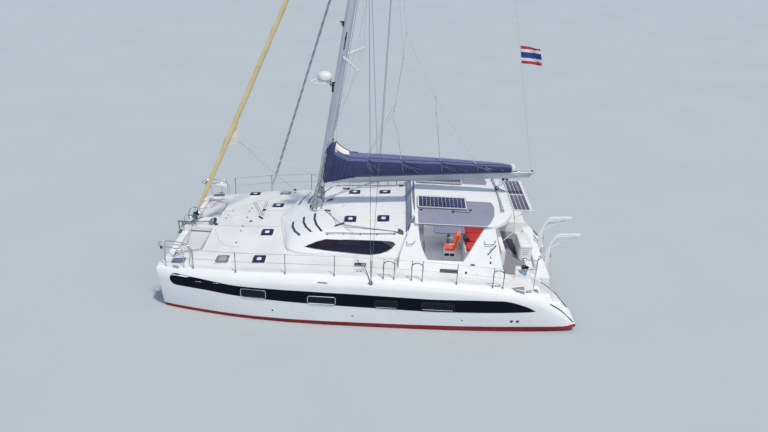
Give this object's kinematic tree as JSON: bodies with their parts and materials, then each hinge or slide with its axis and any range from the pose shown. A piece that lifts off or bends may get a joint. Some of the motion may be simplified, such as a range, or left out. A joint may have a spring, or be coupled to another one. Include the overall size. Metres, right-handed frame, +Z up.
{
  "type": "sailing catamaran",
  "caption": "Cruising sailing catamaran afloat: paired hulls, glazed saloon, hardtop cockpit, raked mast, furled headsail and a bagged mainsail on its boom.",
  "frame": {"origin": "on the waterline, on the centreline, half way along the hulls", "axes": "+X forward, +Y to port, +Z up"},
  "size_m": [13.8447, 7.4, 20.749],
  "materials": {
    "gelcoat": "gloss",
    "glass": "dark tint",
    "steel": "polished",
    "alloy": "anodised",
    "grey_deck": "satin",
    "canvas": "woven",
    "sailcloth": "woven",
    "red_fabric": "woven",
    "orange_fabric": "woven",
    "net": "woven",
    "bronze": "satin",
    "solar": "gloss",
    "wood": "varnished",
    "black": "satin",
    "flag": "woven"
  },
  "bodies": {
    "boat": {"port_hull": "gelcoat", "starboard_hull": "gelcoat", "port_side_window": "glass", "starboard_side_window": "glass", "port_coaming": "gelcoat", "starboard_coaming": "gelcoat", "port_solar_panel": "solar", "starboard_solar_panel": "solar", "port_davit": "gelcoat", "starboard_davit": "gelcoat", "port_trampoline": "net", "starboard_trampoline": "net", "port_pulpit": "steel", "starboard_pulpit": "steel", "port_lifelines": "steel", "starboard_lifelines": "steel", "port_stern_rail": "steel", "starboard_stern_rail": "steel", "port_shrouds": "steel", "starboard_shrouds": "steel", "bridge_deck": "gelcoat", "saloon_shell": "gelcoat", "front_windows": "glass", "saloon_furniture": "wood", "hardtop": "gelcoat", "aft_solar_panel": "solar", "mainsheet_traveller": "black", "cockpit_cushions": "red_fabric", "cockpit_table": "wood", "helm_chair": "orange_fabric", "helm_console": "gelcoat", "stern_locker": "gelcoat", "bow_beam": "alloy", "mast": "alloy", "radome": "gelcoat", "furled_genoa": "sailcloth", "furler_drum": "black", "anchor_gear": "steel"},
    "boom": {"boom": "alloy", "sail_bag": "canvas", "topping_lift": "net", "flag": "flag"},
    "port_rudder": {"port_rudder": "gelcoat"},
    "starboard_rudder": {"starboard_rudder": "gelcoat"},
    "helm_wheel": {"helm_wheel": "steel"},
    "port_propeller": {"port_propeller": "bronze"},
    "starboard_propeller": {"starboard_propeller": "bronze"},
    "saloon_door": {"saloon_door": "glass"},
    "port_hull_fore_hatch_lid": {"port_hull_fore_hatch_lid": "glass"},
    "starboard_hull_fore_hatch_lid": {"starboard_hull_fore_hatch_lid": "glass"},
    "port_hull_aft_hatch_lid": {"port_hull_aft_hatch_lid": "glass"},
    "starboard_hull_aft_hatch_lid": {"starboard_hull_aft_hatch_lid": "glass"},
    "port_foredeck_hatch_lid": {"port_foredeck_hatch_lid": "glass"},
    "starboard_foredeck_hatch_lid": {"starboard_foredeck_hatch_lid": "glass"},
    "port_roof_fore_hatch_lid": {"port_roof_fore_hatch_lid": "glass"},
    "starboard_roof_fore_hatch_lid": {"starboard_roof_fore_hatch_lid": "glass"},
    "port_roof_aft_hatch_lid": {"port_roof_aft_hatch_lid": "glass"},
    "starboard_roof_aft_hatch_lid": {"starboard_roof_aft_hatch_lid": "glass"},
    "port_bow_locker_lid": {"port_bow_locker_lid": "grey_deck"},
    "starboard_bow_locker_lid": {"starboard_bow_locker_lid": "grey_deck"}
  },
  "joints": [
    {"name": "boom_swing", "type": "hinge", "parent": "boat", "child": "boom", "pos_m": [1.55109, 0, 3.44], "axis": [-0.1461, 0, 0.9893], "range_deg": [-50, 50]},
    {"name": "port_rudder_turn", "type": "hinge", "parent": "boat", "child": "port_rudder", "pos_m": [-5.6, 2.88, -0.33], "axis": [0, 0, 1], "range_deg": [-35, 35]},
    {"name": "starboard_rudder_turn", "type": "hinge", "parent": "boat", "child": "starboard_rudder", "pos_m": [-5.6, -2.88, -0.33], "axis": [0, 0, 1], "range_deg": [-35, 35]},
    {"name": "helm_wheel_turn", "type": "hinge", "parent": "boat", "child": "helm_wheel", "pos_m": [-1.78, 1.52, 1.7], "axis": [1, 0, 0], "range_deg": [-450, 450]},
    {"name": "port_propeller_spin", "type": "hinge", "parent": "boat", "child": "port_propeller", "pos_m": [-4.12, 2.88, -0.86], "axis": [1, 0, 0], "continuous": true},
    {"name": "starboard_propeller_spin", "type": "hinge", "parent": "boat", "child": "starboard_propeller", "pos_m": [-4.12, -2.88, -0.86], "axis": [1, 0, 0], "continuous": true},
    {"name": "saloon_door_slide", "type": "slide", "parent": "boat", "child": "saloon_door", "axis": [0, -1, 0], "range_m": [0, 0.85]},
    {"name": "port_hull_fore_hatch_hinge", "type": "hinge", "parent": "boat", "child": "port_hull_fore_hatch_lid", "pos_m": [4.80532, 2.71162, 1.6303], "axis": [0, 0.9914, -0.1305], "range_deg": [0, 75]},
    {"name": "starboard_hull_fore_hatch_hinge", "type": "hinge", "parent": "boat", "child": "starboard_hull_fore_hatch_lid", "pos_m": [4.80532, -2.71162, 1.6303], "axis": [0, 0.9914, 0.1305], "range_deg": [0, 75]},
    {"name": "port_hull_aft_hatch_hinge", "type": "hinge", "parent": "boat", "child": "port_hull_aft_hatch_lid", "pos_m": [3.63512, 2.74209, 1.71284], "axis": [0, 0.9903, -0.1392], "range_deg": [0, 75]},
    {"name": "starboard_hull_aft_hatch_hinge", "type": "hinge", "parent": "boat", "child": "starboard_hull_aft_hatch_lid", "pos_m": [3.63512, -2.74209, 1.71284], "axis": [0, 0.9903, 0.1392], "range_deg": [0, 75]},
    {"name": "port_foredeck_hatch_hinge", "type": "hinge", "parent": "boat", "child": "port_foredeck_hatch_lid", "pos_m": [3.65518, 1.14125, 1.88629], "axis": [0, 0.9962, -0.0872], "range_deg": [0, 75]},
    {"name": "starboard_foredeck_hatch_hinge", "type": "hinge", "parent": "boat", "child": "starboard_foredeck_hatch_lid", "pos_m": [3.65518, -1.14125, 1.88629], "axis": [0, 0.9962, 0.0872], "range_deg": [0, 75]},
    {"name": "port_roof_fore_hatch_hinge", "type": "hinge", "parent": "boat", "child": "port_roof_fore_hatch_lid", "pos_m": [0.88484, 1.18127, 2.55017], "axis": [0, 0.9976, -0.0698], "range_deg": [0, 75]},
    {"name": "starboard_roof_fore_hatch_hinge", "type": "hinge", "parent": "boat", "child": "starboard_roof_fore_hatch_lid", "pos_m": [0.88484, -1.18127, 2.55017], "axis": [0, 0.9976, 0.0698], "range_deg": [0, 75]},
    {"name": "port_roof_aft_hatch_hinge", "type": "hinge", "parent": "boat", "child": "port_roof_aft_hatch_lid", "pos_m": [-0.20464, 1.16113, 2.6137], "axis": [0, 0.9954, -0.0958], "range_deg": [0, 75]},
    {"name": "starboard_roof_aft_hatch_hinge", "type": "hinge", "parent": "boat", "child": "starboard_roof_aft_hatch_lid", "pos_m": [-0.20464, -1.16113, 2.6137], "axis": [0, 0.9954, 0.0958], "range_deg": [0, 75]},
    {"name": "port_bow_locker_hinge", "type": "hinge", "parent": "boat", "child": "port_bow_locker_lid", "pos_m": [6.22028, 2.70127, 1.49729], "axis": [0, 0.9938, -0.1115], "range_deg": [0, 75]},
    {"name": "starboard_bow_locker_hinge", "type": "hinge", "parent": "boat", "child": "starboard_bow_locker_lid", "pos_m": [6.22028, -2.70127, 1.49729], "axis": [0, 0.9938, 0.1115], "range_deg": [0, 75]}
  ],
  "couplings": [
    {"joint": "starboard_rudder_turn", "follows": "port_rudder_turn", "ratio": 1},
    {"joint": "helm_wheel_turn", "follows": "port_rudder_turn", "ratio": 12.85}
  ]
}
